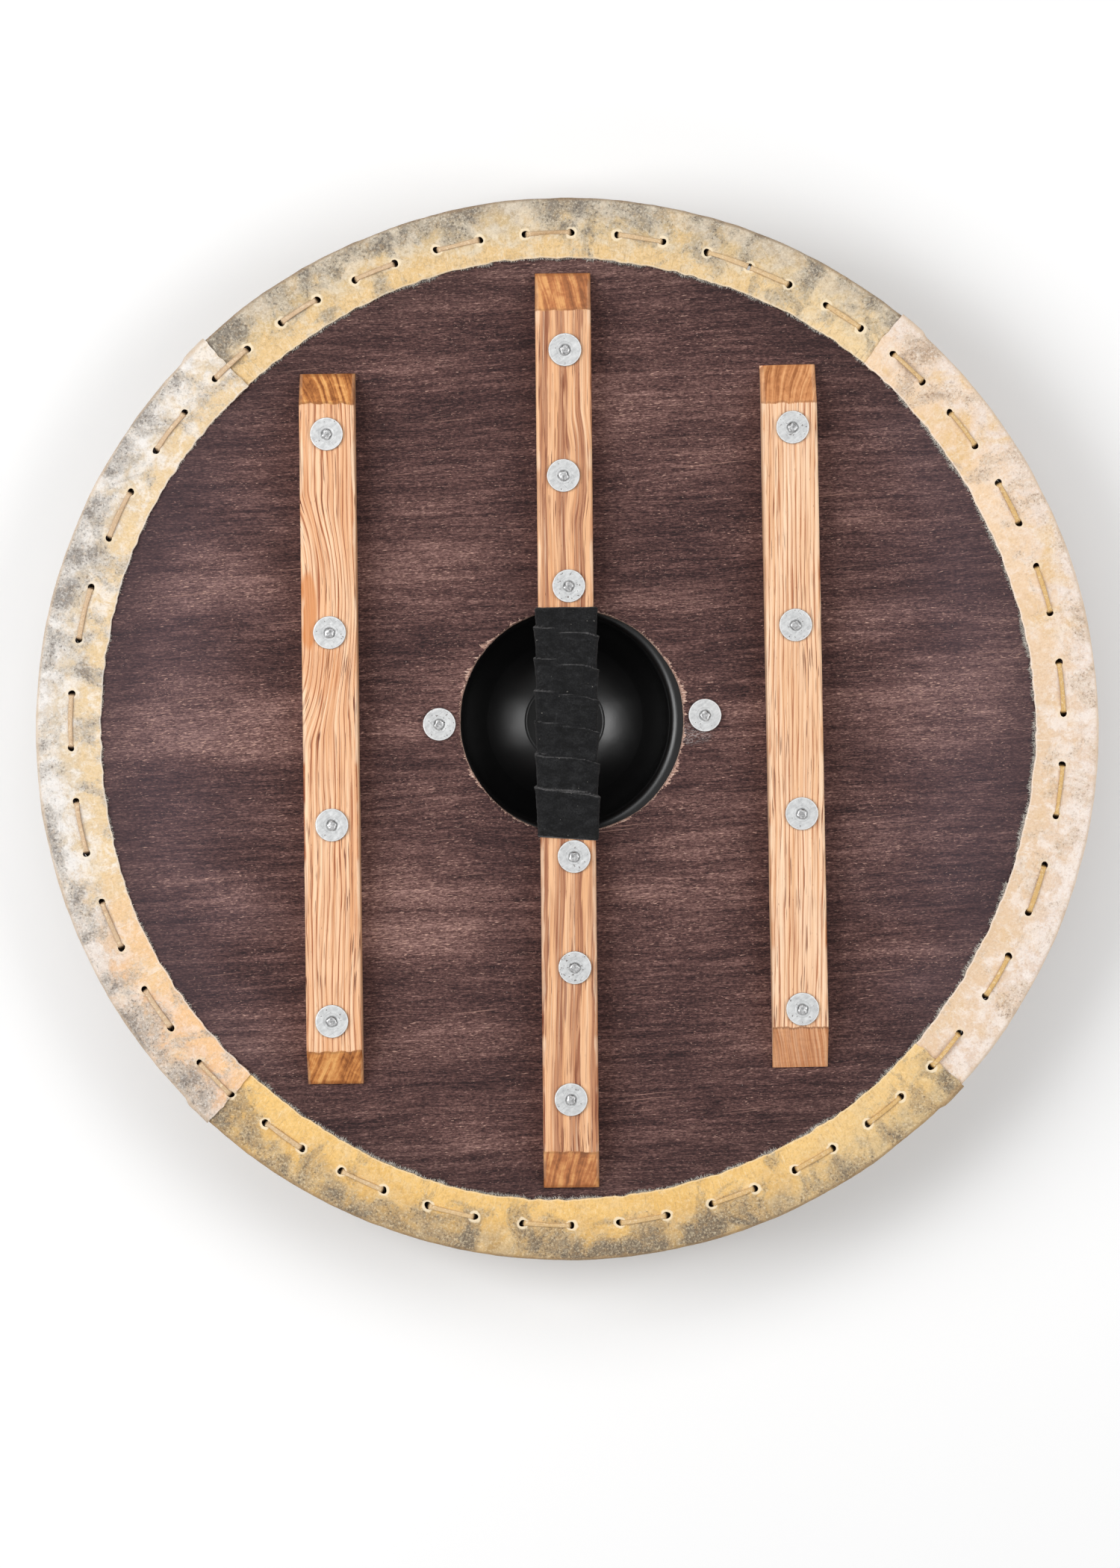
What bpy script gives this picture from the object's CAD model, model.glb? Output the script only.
import bpy
import numpy as np
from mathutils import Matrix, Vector


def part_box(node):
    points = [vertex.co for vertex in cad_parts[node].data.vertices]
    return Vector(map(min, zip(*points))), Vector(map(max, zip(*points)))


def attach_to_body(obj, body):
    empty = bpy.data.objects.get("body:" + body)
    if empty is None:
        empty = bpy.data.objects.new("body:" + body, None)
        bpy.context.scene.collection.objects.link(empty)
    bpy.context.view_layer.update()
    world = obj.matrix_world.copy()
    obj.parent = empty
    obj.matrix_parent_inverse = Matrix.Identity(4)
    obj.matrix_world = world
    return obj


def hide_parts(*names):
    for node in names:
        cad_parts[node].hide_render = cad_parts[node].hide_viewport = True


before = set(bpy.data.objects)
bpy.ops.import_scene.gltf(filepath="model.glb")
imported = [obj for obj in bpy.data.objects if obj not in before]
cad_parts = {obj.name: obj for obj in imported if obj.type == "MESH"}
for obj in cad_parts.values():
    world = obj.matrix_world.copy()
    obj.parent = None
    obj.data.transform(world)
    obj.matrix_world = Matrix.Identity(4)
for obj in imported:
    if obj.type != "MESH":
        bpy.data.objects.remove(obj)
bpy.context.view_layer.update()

mm = 0.001
fullTurn = 2 * np.pi


def middleOf(node):
    low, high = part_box(node)
    return [(a + b) / 2 / mm for a, b in zip(low, high)]


def heightsOf(node):
    low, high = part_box(node)
    return low[2] / mm, high[2] / mm


boardFront, boardBack = heightsOf("board")
boardMiddle = (boardBack + boardFront) / 2
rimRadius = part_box("rawhide_top")[1][1] / mm  # outside of the rawhide, where no lap raises it


def noise(x, y, seed, octaves=3):
    # random heights on a unit lattice joined by smooth steps, plus finer and lower copies of it
    heights = np.random.default_rng(seed).uniform(-1, 1, (256, 256))
    total = 0.0
    for octave in range(octaves):
        scale = 2.0 ** octave
        u = np.asarray(x) * scale + 17.3 * octave
        v = np.asarray(y) * scale + 5.7 * octave
        i = np.floor(u).astype(int)
        j = np.floor(v).astype(int)
        s = u - i
        t = v - j
        s = s * s * (3 - 2 * s)
        t = t * t * (3 - 2 * t)
        near = heights[i % 256, j % 256] * (1 - s) + heights[(i + 1) % 256, j % 256] * s
        far = heights[i % 256, (j + 1) % 256] * (1 - s) + heights[(i + 1) % 256, (j + 1) % 256] * s
        total = total + (near * (1 - t) + far * t) / scale
    return total


def wave(x, seed, octaves=3):
    # the same random heights along one line
    return noise(x, 0.0, seed, octaves)


def smooth(value, low, high):
    # 0 below low, 1 above high, and an s-curve between
    t = np.clip((value - low) / (high - low), 0, 1)
    return t * t * (3 - 2 * t)


def swell(angle, mean, swells):
    # mean plus cosines, each with its size, waves per turn and phase in degrees
    return mean + sum(size * np.cos(np.radians(waves * angle - phase)) for size, waves, phase in swells)


def circle(count):
    # evenly spaced turns in radians, as one row
    return np.linspace(0, fullTurn, count, endpoint=False)[None, :]


def polar(radius, angle):
    # x and y at a radius and at an angle in degrees
    return radius * np.cos(np.radians(angle)), radius * np.sin(np.radians(angle))


def gridQuads(rows, columns, closedRows=False, closedColumns=False):
    # the quads face the way that columns cross rows
    i = np.arange(rows if closedRows else rows - 1)[:, None]
    j = np.arange(columns if closedColumns else columns - 1)[None, :]
    nextI = (i + 1) % rows
    nextJ = (j + 1) % columns
    corners = [i * columns + j, i * columns + nextJ, nextI * columns + nextJ, nextI * columns + j]
    return np.stack(np.broadcast_arrays(*corners), -1).reshape(-1, 4)


def closedSkin(rings, closedRows=False):
    # rows of rings whose corners run counterclockwise about the way the rows go, with a fan over each end
    rows, columns = rings.shape[:2]
    points = rings.reshape(-1, 3)
    faces = [gridQuads(rows, columns, closedRows, True)]
    if not closedRows:
        hubs = rings[[0, -1]].mean(axis=1)
        j = np.arange(columns)
        nextJ = (j + 1) % columns
        last = (rows - 1) * columns
        faces.append(np.stack([np.full(columns, len(points)), nextJ, j], -1))
        faces.append(np.stack([np.full(columns, len(points) + 1), last + j, last + nextJ], -1))
        points = np.vstack([points, hubs])
    return points, faces


def joined(parts):
    # several point and face sets as one
    points = []
    faces = []
    start = 0
    for partPoints, partFaces in parts:
        points.append(partPoints)
        faces += [face + start for face in partFaces]
        start += len(partPoints)
    return np.vstack(points), faces


def makePiece(name, points, faces, finish, sharp=40):
    mesh = bpy.data.meshes.new(name)
    corners = np.concatenate([face.ravel() for face in faces])
    sizes = np.concatenate([np.full(len(face), face.shape[1]) for face in faces])
    mesh.vertices.add(len(points))
    mesh.vertices.foreach_set("co", (np.asarray(points) * mm).astype(np.float32).ravel())
    mesh.loops.add(len(corners))
    mesh.loops.foreach_set("vertex_index", corners.astype(np.int32))
    mesh.polygons.add(len(sizes))
    mesh.polygons.foreach_set("loop_start", np.concatenate([[0], np.cumsum(sizes)[:-1]]).astype(np.int32))
    mesh.update(calc_edges=True)
    mesh.validate()
    mesh.materials.append(finish)
    piece = bpy.data.objects.new(name, mesh)
    bpy.context.collection.objects.link(piece)
    shade(piece, sharp)
    return piece


def shade(piece, sharp):
    piece.data.shade_smooth()
    piece.data.set_sharp_from_angle(angle=np.radians(sharp))


def pointsOf(piece):
    flat = np.empty(len(piece.data.vertices) * 3, np.float32)
    piece.data.vertices.foreach_get("co", flat)
    return flat.reshape(-1, 3) / mm


def paint(piece, name, values):
    # a number for each point, which the finish reads by its name
    layer = piece.data.attributes.new(name, "FLOAT", "POINT")
    layer.data.foreach_set("value", np.asarray(values, np.float32))


def cutOut(piece, cutter):
    cut = piece.modifiers.new("cut", "BOOLEAN")
    cut.operation = "DIFFERENCE"
    cut.solver = "MANIFOLD"
    cut.object = cutter
    view = bpy.context.evaluated_depsgraph_get()
    mesh = bpy.data.meshes.new_from_object(piece.evaluated_get(view))
    piece.modifiers.remove(cut)
    old = piece.data
    piece.data = mesh
    bpy.data.meshes.remove(old)
    mesh.name = piece.name


def attach(piece, slot, *nodes):
    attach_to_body(piece, "root")
    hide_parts(*nodes)


class Socket:
    # a shader socket that sums can be written with
    def __init__(self, tree, socket):
        self.tree = tree
        self.socket = socket

    def math(self, operation, *others, clamp=False):
        settings = {"operation": operation, "use_clamp": clamp}
        return addNode(self.tree, "Math", settings, dict(enumerate([self, *others])))

    def __add__(self, other):
        return self.math("ADD", other)

    def __sub__(self, other):
        return self.math("SUBTRACT", other)

    def __mul__(self, other):
        return self.math("MULTIPLY", other)

    def __truediv__(self, other):
        return self.math("DIVIDE", other)

    def __pow__(self, other):
        return self.math("POWER", other)

    def __rsub__(self, other):
        return addNode(self.tree, "Math", {"operation": "SUBTRACT"}, {0: other, 1: self})

    __radd__ = __add__
    __rmul__ = __mul__

    def step(self, low, high, start=0.0, end=1.0):
        # an s-curve from start to end as the socket goes from low to high
        values = {"Value": self, "From Min": low, "From Max": high, "To Min": start, "To Max": end}
        return addNode(self.tree, "MapRange", {"interpolation_type": "SMOOTHSTEP"}, values)

    def line(self, low, high, start=0.0, end=1.0):
        values = {"Value": self, "From Min": low, "From Max": high, "To Min": start, "To Max": end}
        return addNode(self.tree, "MapRange", {"clamp": True}, values)


def addNode(tree, kind, settings=None, values=None, output=0):
    # the settings first, a ramp's stops among them, then values or links by socket name or number
    node = tree.nodes.new("ShaderNode" + kind)
    for name, value in (settings or {}).items():
        if name == "stops":
            ramp = node.color_ramp.elements
            while len(ramp) < len(value):
                ramp.new(1.0)
            for element, (position, colour) in zip(ramp, value):
                element.position = position
                element.color = (*colour, 1.0)
        else:
            setattr(node, name, value)
    for name, value in (values or {}).items():
        if isinstance(value, Socket):
            tree.links.new(value.socket, node.inputs[name])
        elif isinstance(value, tuple) and len(value) == 3 and node.inputs[name].type == "RGBA":
            node.inputs[name].default_value = (*value, 1.0)
        else:
            node.inputs[name].default_value = value
    return Socket(tree, node.outputs[output])


def srgb(red, green, blue):
    # display values of 0 to 255 as linear light
    values = np.array([red, green, blue]) / 255
    return tuple(np.where(values <= 0.04045, values / 12.92, ((values + 0.055) / 1.055) ** 2.4).tolist())


def oval(x, y, middle, reach):
    # 0 at a spot's middle and 1 at its reach, by the square of the distance
    across = (x - middle[0] * mm) / (reach[0] * mm)
    up = (y - middle[1] * mm) / (reach[1] * mm)
    return across * across + up * up


class Finish:
    # one material, with short names for the nodes that the finishes share
    def __init__(self, name, roughness=0.5, metallic=0.0, **constants):
        self.material = bpy.data.materials.new(name)
        self.material.use_nodes = True
        self.tree = self.material.node_tree
        self.shader = self.tree.nodes["Principled BSDF"]
        self.shader.inputs["Roughness"].default_value = roughness
        self.shader.inputs["Metallic"].default_value = metallic
        for key, value in constants.items():
            self.shader.inputs[key.replace("_", " ")].default_value = value
        self.place = self.node("TexCoord", output="Object")

    def node(self, kind, settings=None, values=None, output=0):
        return addNode(self.tree, kind, settings, values, output)

    def noise(self, size, detail=2.0, rough=0.5, warp=0.0, turn=0.0, seed=0.0, source=None):
        # marks of a size in millimetres, one number or one for each axis, turned about Z
        sizes = size if isinstance(size, tuple) else (size, size, size)
        scale = tuple(value * mm for value in sizes)
        spot = (seed * 0.037, seed * 0.053, seed * 0.011)
        turned = (0, 0, np.radians(turn))
        values = {"Vector": source or self.place, "Scale": scale, "Rotation": turned, "Location": spot}
        laid = self.node("Mapping", {"vector_type": "TEXTURE"}, values)
        values = {"Vector": laid, "Scale": 1.0, "Detail": detail, "Roughness": rough, "Distortion": warp}
        return self.node("TexNoise", None, values)

    def strokes(self, size, turns, seed, low, high, source=None):
        # short marks that cross: the highest of noises that are each stretched another way
        best = 0.0
        for number, turn in enumerate(turns):
            mark = self.noise(size, 1.0, 0.5, 0.6, turn, seed + number * 3.1, source)
            best = mark.math("MAXIMUM", best)
        return best.step(low, high)

    def mix(self, share, first, second):
        # each colour is a socket or display values
        first, second = [side if isinstance(side, Socket) else srgb(*side) for side in (first, second)]
        return self.node("Mix", {"data_type": "RGBA"}, {0: share, 6: first, 7: second}, 2)

    def ramp(self, value, stops):
        # each stop has its position and display values
        linear = [(position, srgb(*colour)) for position, colour in stops]
        return self.node("ValToRGB", {"stops": linear}, {"Fac": value})

    def layers(self, base, *coats):
        # coats of colour over a base, each with its share
        for share, colour in coats:
            base = self.mix(share, base, colour)
        return base

    def attribute(self, name):
        return self.node("Attribute", {"attribute_name": name}, None, "Fac")

    def parts(self, source=None):
        split = self.node("SeparateXYZ", None, {0: source or self.place})
        return [Socket(self.tree, split.socket.node.outputs[axis]) for axis in range(3)]

    def joined(self, x, y, z=0.0):
        return self.node("CombineXYZ", None, {0: x, 1: y, 2: z})

    def bump(self, height, distance, strength=1.0):
        return self.node("Bump", None, {"Height": height, "Distance": distance, "Strength": strength})

    def link(self, **inputs):
        for name, value in inputs.items():
            self.tree.links.new(value.socket, self.shader.inputs[name.replace("_", " ")])
        return self.material


# where the stain has worn paler: middle and reach in millimetres, and how much
wornSpots = [
    (-235, 5, 75, 34, 0.85),
    (-228, 98, 60, 22, 0.6),
    (-100, 112, 60, 18, 0.7),
    (-98, -122, 62, 48, 0.75),
    (64, -100, 80, 34, 0.45),
    (250, 12, 55, 42, 0.55),
    (66, 215, 70, 60, 0.35),
    (200, 150, 60, 18, 0.4),
    (225, -140, 60, 18, 0.4),
    (-85, -205, 50, 20, 0.4),
]


def stainedWoodFinish():
    # red-brown stain over fine grain that runs across the back, worn to pink in patches and short dashes
    f = Finish("stainedWood", roughness=0.7, Specular_IOR_Level=0.22)
    x, y, z = f.parts()
    wander = f.noise((170, 60, 170), 2.0, seed=1)
    level = y - x * 0.045 + (wander - 0.5) * 0.014
    along = f.joined(x, level, z)
    fibre = f.noise((6, 0.45, 3), 4.0, 0.75, 0.1, seed=3, source=along)
    streak = f.noise((46, 2.6, 10), 4.0, 0.6, 0.15, seed=4, source=along)
    band = f.noise((220, 13, 60), 3.0, 0.6, seed=5, source=along)
    patch = f.noise((80, 36, 80), 3.0, 0.6, seed=6)
    mottle = f.noise((2.2, 1.0, 2), 2.0, 0.6, 0.3, seed=14)
    wear = (patch - 0.5) * 1.7 + (band - 0.5) * 1.4
    for spotX, spotY, reachX, reachY, amount in wornSpots:
        distance = oval(x, y, (spotX, spotY), (reachX, reachY)) + (streak - 0.5) * 1.5
        wear = wear + distance.step(1.6, 0.0, 0.0, amount * 0.7)
    wear = wear.step(-0.5, 1.1)
    tone = (fibre - 0.5) * 1.6 + (streak - 0.5) * 0.8 + (mottle - 0.5) * 1.0 + wear * 0.45 + 0.28
    stops = [
        (0.0, (34, 20, 22)), (0.25, (60, 38, 38)), (0.5, (94, 65, 61)),
        (0.75, (132, 99, 93)), (1.0, (172, 136, 126)),
    ]
    base = f.ramp(tone.line(0.0, 1.0), stops)
    pores = f.noise((9, 0.6, 2), 1.0, 0.5, 0.3, seed=7, source=along).step(0.38, 0.26)
    cool = (x * x + (patch - 0.5) * 0.04).step(0.03, 0.07)
    gritHere = f.noise(26, 2.0, seed=15).step(0.48, 0.62)
    grit = f.noise((1.9, 1.1, 2), 1.0, 0.5, seed=16).step(0.64, 0.76) * gritHere
    dash = f.noise((3.6, 0.6, 2), 1.0, 0.5, 0.4, 4, 8, along)
    dashes = (dash + wear * 0.14).step(0.70, 0.82)
    lineHere = f.noise((60, 24, 70), 1.0, seed=9).step(0.48, 0.6)
    scratches = f.noise((90, 0.8, 20), 0.0, 0.5, 0.0, 6, 10).step(0.76, 0.84) * lineHere
    specks = f.noise(1.3, 0.0, seed=11).step(0.86, 0.9)
    radial = ((x * x + y * y) ** 0.5).step(0.27, 0.315)
    scuffGrain = f.noise((2.5, 0.9, 2), 3.0, 0.7, 1.0, 14, 12).step(0.45, 0.7)
    scuff = oval(x, y, (79, -3.5), (17, 7.5)).step(1.3, 0.1) * scuffGrain
    base = f.layers(
        base,
        (pores * 0.4, (30, 18, 20)),
        (cool * 0.22, (102, 88, 98)),
        (grit * 0.5, (190, 150, 136)),
        (dashes * 0.75, (204, 164, 148)),
        (scratches * 0.6, (176, 136, 122)),
        (specks * 0.6, (196, 176, 168)),
        (radial * 0.3, (36, 24, 26)),
        (scuff * 0.75, (196, 184, 180)),
    )
    raw = f.attribute("raw")
    bareTone = f.noise((7, 0.7, 1.2), 2.0, 0.6, 0.3, seed=13, source=along)
    bareStops = [(0.0, (122, 86, 76)), (0.5, (190, 154, 138)), (1.0, (226, 200, 184))]
    bare = f.ramp(bareTone.line(0.3, 0.7), bareStops)
    rawShare = (raw + (bareTone - 0.5) * 0.9).step(0.3, 0.7)
    colour = f.mix(rawShare, base, bare)
    rough = 0.66 + (fibre - 0.5) * 0.25 + rawShare * 0.2
    relief = fibre * 0.8 + streak * 0.5 - pores * 0.3
    return f.link(Base_Color=colour, Roughness=rough, Normal=f.bump(relief, 0.0004, 0.6))


def pineFinish(name, wood):
    # growth rings run through the lath: fine lines along it, and slanted bands on its sloped ends
    f = Finish(name, roughness=0.5, Specular_IOR_Level=0.35)
    seed = wood["seed"]
    x, y, z = f.parts()
    wander = f.noise((42, 210, 42), 2.0, 0.5, seed=seed)
    across = x + z * wood["slant"] + (wander - 0.5) * (wood["wander"] * mm)
    for knotX, knotY, reachX, reachY, push in wood["knots"]:
        away = oval(x, y, (knotX, knotY), (reachX, reachY))
        across = across - away.step(1.0, 0.0, 0.0, push * mm)
    grain = f.joined(across, y)
    quiver = f.noise((2.5, 60, 1), 2.0, 0.5, seed=seed + 1, source=grain)
    ring = (across * (1 / (wood["pitch"] * mm)) + (quiver - 0.5) * 0.9).math("FRACT")
    late = ring.step(wood["late"][0], wood["late"][1]) * (1 - ring.step(0.92, 1.0))
    line = ring.step(0.72, 0.84) * (1 - ring.step(0.9, 0.98))
    broad = f.noise((8, 150, 1), 2.0, 0.5, seed=seed + 4, source=grain)
    streak = f.noise((1.5, 130, 1), 4.0, 0.62, seed=seed + 3, source=grain)
    fine = f.noise((0.9, 55, 1), 2.0, 0.6, seed=seed + 2, source=grain)
    lineShare = f.noise((2.2, 70, 1), 2.0, 0.55, seed=seed + 5, source=grain)
    tone = f.mix(broad.step(0.32, 0.68), wood["pale"], wood["warm"])
    rings = line * lineShare.step(0.40, 0.54)
    crackHere = f.noise((12, 90, 1), 2.0, 0.5, seed=seed + 6, source=grain).step(0.42, 0.60)
    crackLine = f.noise((0.9, 26, 1), 1.0, 0.5, 0.0, seed=seed + 7, source=grain).step(0.60, 0.67)
    cracks = crackLine * (crackHere * 0.85 + 0.15)
    fleck = f.noise((0.7, 4.5, 1), 1.0, 0.5, seed=seed + 9, source=grain).step(0.68, 0.78)
    resin = 0.0
    for resinX, resinY, reachX, reachY, share in wood["resin"]:
        down = (z - (boardBack + lath["thick"]) * mm) / (9 * mm)
        away = oval(x, y, (resinX, resinY), (reachX, reachY)) + down * down
        resin = (away + (broad - 0.5) * 1.2).step(1.0, 0.5) * share + resin
    tone = f.layers(
        tone,
        (late * wood["lateShare"], wood["dark"]),
        (streak.step(0.52, 0.34) * 0.85, wood["shade"]),
        (streak.step(0.54, 0.72) * 0.6, (252, 222, 190)),
        (fine.step(0.50, 0.66) * (0.36 + late * 0.4), wood["line"]),
        (rings * wood["lines"], wood["line"]),
        (cracks * wood["cracks"], (118, 58, 32)),
        (fleck * (0.25 + late * 0.5), (126, 76, 52)),
        (resin, wood["resinColour"]),
    )
    slope = f.attribute("slope")
    sawn = (slope + (fine - 0.5) * wood["fuzz"]).step(-0.3, 0.3)
    bands = f.noise((wood["band"], 90, 1), 3.0, 0.55, seed=seed + 8, source=grain)
    mottle = f.noise((5, 9, 5), 3.0, 0.65, 0.6, seed=seed + 11)
    bandTone = (bands - 0.5) * wood["bandShare"] + (mottle - 0.5) * 1.3 + (streak - 0.5) * 1.0 + 0.52
    stops = [(0.0, wood["endDark"]), (0.5, wood["endMid"]), (1.0, wood["endPale"])]
    ends = f.ramp(bandTone.line(0.0, 1.0), stops)
    footShare = y.step(0.0, -0.01, 0.0, wood["footPale"])
    torn = f.mix((streak + (fine - 0.5) * 0.5).step(0.38, 0.62), (196, 128, 88), (242, 192, 154))
    endRim = f.attribute("endRim")
    fray = slope + (fine - 0.5) * 3.0
    brink = slope.step(-0.4, 0.3) * (1 - fray.step(0.8, 2.0))
    ends = f.layers(
        ends,
        (footShare, torn),
        (endRim * wood["rimShare"], wood["endRim"]),
        (brink * (0.4 + footShare * 0.5), (132, 92, 64)),
    )
    colour = f.mix(sawn, tone, ends)
    arris = f.attribute("arris")
    colour = f.mix(arris.step(0.4, 1.0) * (0.45 - sawn * 0.3), colour, (250, 220, 188))
    rough = 0.48 + rings * 0.2 + sawn * 0.08 + (streak - 0.5) * 0.2
    relief = streak * 0.6 + late * 0.3 - cracks * 0.5 - rings * 0.4
    return f.link(Base_Color=colour, Roughness=rough, Normal=f.bump(relief, 0.0004, 0.7))


def rawhideFinish(name, hide):
    # scraped hide: warm and creased along the inner edge, and further out clouds of short hair roots,
    # dark where they are thick and frosty where they are bleached
    f = Finish(name, roughness=0.6, Specular_IOR_Level=0.3)
    seed = hide["seed"]
    x, y, _ = f.parts()
    radius = f.attribute("radius")
    rimWise = f.joined(f.attribute("along") * mm, radius * mm)
    outward = radius.line(309, 345)
    clouds = f.noise(34, 3.0, 0.6, 0.3, seed=seed)
    veil = f.noise(12, 4.0, 0.65, 0.5, seed=seed + 1)
    roots = f.noise(27, 5.0, 0.6, 0.7, seed=seed + 2)
    fleece = f.noise(3.4, 5.0, 0.78, 0.6, seed=seed + 4)
    creases = f.noise((1.1, 10, 1), 2.0, 0.6, 0.6, seed=seed + 8, source=rimWise)
    grit = f.noise(1.5, 2.0, 0.7, 0.5, seed=seed + 12)
    tufts = f.strokes((2.4, 0.6, 2), (40, 100, 165), seed + 9, 0.62, 0.78)
    slantX, slantY, low, high = hide["farWay"]
    far = (x * slantX + y * slantY + (clouds - 0.5) * 0.1).step(low, high)
    inner, middle, outer = [f.mix(far, near, away) for near, away in hide["zones"]]
    zone = outward + (veil - 0.5) * 1.0
    ochreHere = f.noise(30, 3.0, 0.6, 0.6, seed=seed + 13).step(0.50, 0.66)
    chalk = (veil + outward * 0.14 + (fleece - 0.5) * 0.3).step(0.48, 0.70) * hide["chalk"] * (1 - far * 0.5)
    thickness = roots + (outward - 0.5) * hide["outwards"] + (fleece - 0.5) * 0.25
    thickness = thickness + hide["grey"] - far * hide["farClear"]
    gather = thickness.step(0.50, 0.62)
    inward = 1 - zone.step(0.2, 0.6)
    halo = f.attribute("halo")
    foldLine = (radius + (clouds - 0.5) * 4).step(346.4, 348.8)
    edge = f.attribute("edge")
    base = f.layers(
        inner,
        (zone.step(0.1, 0.55), middle),
        (zone.step(0.5, 0.95), outer),
        (clouds.step(0.5, 0.68) * 0.5, inner),
        (ochreHere * far.line(0.0, 1.0, *hide["ochreShare"]), hide["ochre"]),
        (chalk, hide["white"]),
        (gather * 0.6, hide["smudge"]),
        (thickness.step(0.60, 0.72) * 0.65, hide["deep"]),
        (fleece.step(0.49, 0.34) * hide["nap"], hide["shadow"]),
        (fleece.step(0.52, 0.66) * hide["nap"] * 0.6, hide["hairPale"]),
        (creases.step(0.42, 0.28) * inward * 0.45, hide["shadow"]),
        (creases.step(0.62, 0.74) * inward * 0.4, hide["hairPale"]),
        (tufts * (0.06 + gather * 0.2), hide["hairDark"]),
        (grit.step(0.44, 0.34) * (0.12 + outward * 0.1 + gather * 0.5), hide["hairDark"]),
        (grit.step(0.54, 0.64) * (0.14 + outward * 0.12 + gather * 0.1), hide["hairPale"]),
        (halo.step(0.3, 0.9) * hide["halo"], (246, 228, 196)),
        (f.attribute("inHole"), (124, 86, 58)),
        (foldLine * 0.6, hide["fold"]),
        (edge.step(0.2, 0.9) * 0.4, hide["white"]),
    )
    rough = 0.54 + fleece * 0.2 + gather * 0.08
    relief = fleece * 0.8 - tufts * 0.2 + creases * inward * 0.5
    return f.link(Base_Color=base, Roughness=rough, Normal=f.bump(relief, 0.0005, 0.7))


def laceFinish():
    # thin strip of hide with chalky flecks, more ochre towards the right
    f = Finish("laceHide", roughness=0.5, Specular_IOR_Level=0.4)
    x, y, _ = f.parts()
    grain = f.noise(1.7, 3.0, 0.7, 0.8, seed=1)
    tone = f.noise(34, 2.0, seed=2)
    ochre = (x * 2.0 - y * 0.7 + (tone - 0.5) * 0.6).line(-0.5, 0.6)
    base = f.ramp(ochre, [(0.0, (206, 176, 142)), (0.5, (216, 184, 138)), (1.0, (216, 176, 112))])
    edge = f.attribute("edge")
    base = f.layers(
        base,
        (grain.step(0.52, 0.68) * 0.6, (246, 228, 196)),
        (grain.step(0.45, 0.30) * 0.55, (158, 118, 80)),
        (edge * 0.4, (152, 112, 74)),
    )
    return f.link(Base_Color=base, Roughness=0.44 + grain * 0.25, Normal=f.bump(grain, 0.0004, 0.6))


def hairFinish():
    f = Finish("hideHair", roughness=0.6)
    shadeOf = f.attribute("shade")
    base = f.ramp(shadeOf, [(0.0, (62, 56, 54)), (0.45, (138, 130, 124)), (1.0, (240, 234, 224))])
    return f.link(Base_Color=base)


def suedeFinish():
    # black split leather: short nap that catches a little light, paler at the cut edges
    f = Finish("suede", roughness=0.95, Sheen_Weight=0.08, Sheen_Roughness=0.6, Specular_IOR_Level=0.1)
    nap = f.noise(1.0, 3.0, 0.7, 0.5, seed=1)
    brushed = f.noise((8, 5, 9), 4.0, 0.7, 0.6, seed=2)
    stops = [(0.0, (10, 10, 10)), (0.45, (24, 24, 25)), (0.8, (42, 42, 43)), (1.0, (66, 66, 67))]
    base = f.ramp((nap * 0.5 + brushed * 0.5).line(0.3, 0.70), stops)
    specks = f.noise(1.4, 0.0, seed=3)
    base = f.mix(specks.step(0.84, 0.88) * 0.8, base, (128, 124, 118))
    edge = f.attribute("edge")
    base = f.mix((edge * (nap + 0.2)).step(0.3, 0.8) * 0.75, base, (104, 102, 102))
    relief = f.bump(nap + brushed * 0.6, 0.0005, 0.9)
    return f.link(Base_Color=base, Roughness=0.86 + nap * 0.12, Normal=relief)


def blackSteelFinish():
    # semi-gloss black paint with faint orange peel, dust and a few fine rubs
    f = Finish("blackSteel", roughness=0.3, Specular_IOR_Level=0.8)
    cloud = f.noise(33, 3.0, seed=1)
    dust = f.noise(1.1, 0.0, seed=2)
    rubs = f.noise((22, 0.5, 22), 1.0, 0.5, 1.0, 35, 3)
    base = f.ramp(cloud, [(0.3, (4, 4, 5)), (0.7, (9, 9, 10))])
    base = f.mix(dust.step(0.84, 0.88) * 0.35, base, (92, 92, 92))
    base = f.mix(rubs.step(0.74, 0.8) * 0.15, base, (70, 70, 70))
    peel = f.noise(4, 2.0, seed=4)
    rough = 0.3 + cloud * 0.08 + rubs.step(0.7, 0.8) * 0.1
    return f.link(Base_Color=base, Roughness=rough, Normal=f.bump(peel, 0.00006, 0.5))


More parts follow.
